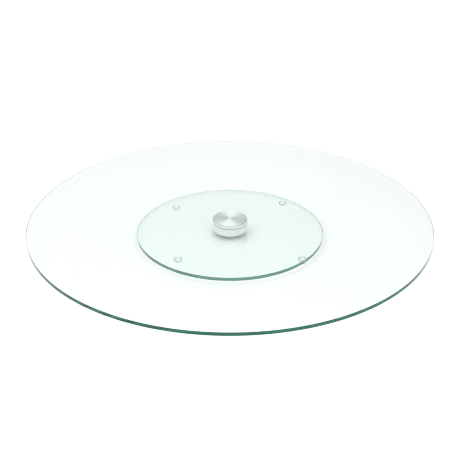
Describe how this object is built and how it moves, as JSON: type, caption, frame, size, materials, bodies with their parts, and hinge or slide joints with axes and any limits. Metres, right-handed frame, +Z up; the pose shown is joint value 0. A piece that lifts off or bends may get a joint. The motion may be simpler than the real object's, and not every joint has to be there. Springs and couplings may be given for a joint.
{
  "type": "glass turntable display stand",
  "caption": "Large round glass tray that spins on a short aluminium swivel bearing bonded to a smaller round glass base on small clear feet.",
  "frame": {"origin": "on the tray's turning axis, at the level that the feet stand on", "axes": "+Z up along the turning axis; +X to the right and +Y away from a viewer standing in front"},
  "size_m": [0.5999, 0.6, 0.0329],
  "materials": {
    "tray_glass": "clear float glass, polished edge with a green tint",
    "base_glass": "clear float glass, polished edge with a green tint",
    "cured_glue": "clear cured glue film",
    "turned_aluminium": "fine turned, natural silver",
    "bearing_steel": "ground bearing steel",
    "polished_balls": "polished chrome steel",
    "pressed_brass": "pressed sheet, satin",
    "spring_steel": "phosphated, dark",
    "zinc_steel": "bright zinc plate",
    "clear_rubber": "soft clear polyurethane"
  },
  "bodies": {
    "base": {"base_glass": "base_glass", "lower_bond": "cured_glue", "bearing_housing": "turned_aluminium", "outer_race": "bearing_steel", "upper_shield": "bearing_steel", "lower_shield": "bearing_steel", "snap_ring": "spring_steel", "foot_glue": "cured_glue", "foot_rear_left": "clear_rubber", "foot_rear_right": "clear_rubber", "foot_front_left": "clear_rubber", "foot_front_right": "clear_rubber"},
    "tray": {"tray_glass": "tray_glass", "upper_bond": "cured_glue", "bearing_cap": "turned_aluminium", "inner_race": "bearing_steel", "clamp_washer": "zinc_steel", "clamp_screw": "zinc_steel"},
    "ball_cage": {"bearing_balls": "polished_balls", "cage_upper": "pressed_brass", "cage_lower": "pressed_brass", "cage_rivets": "pressed_brass"}
  },
  "joints": [
    {"name": "tray_spin", "type": "hinge", "parent": "base", "child": "tray", "pos_m": [0, 0, 0.0158], "axis": [0, 0, 1], "continuous": true},
    {"name": "cage_roll", "type": "hinge", "parent": "base", "child": "ball_cage", "pos_m": [0, 0, 0.0158], "axis": [0, 0, 1], "continuous": true}
  ],
  "couplings": [
    {"joint": "cage_roll", "follows": "tray_spin", "ratio": 0.4327}
  ]
}
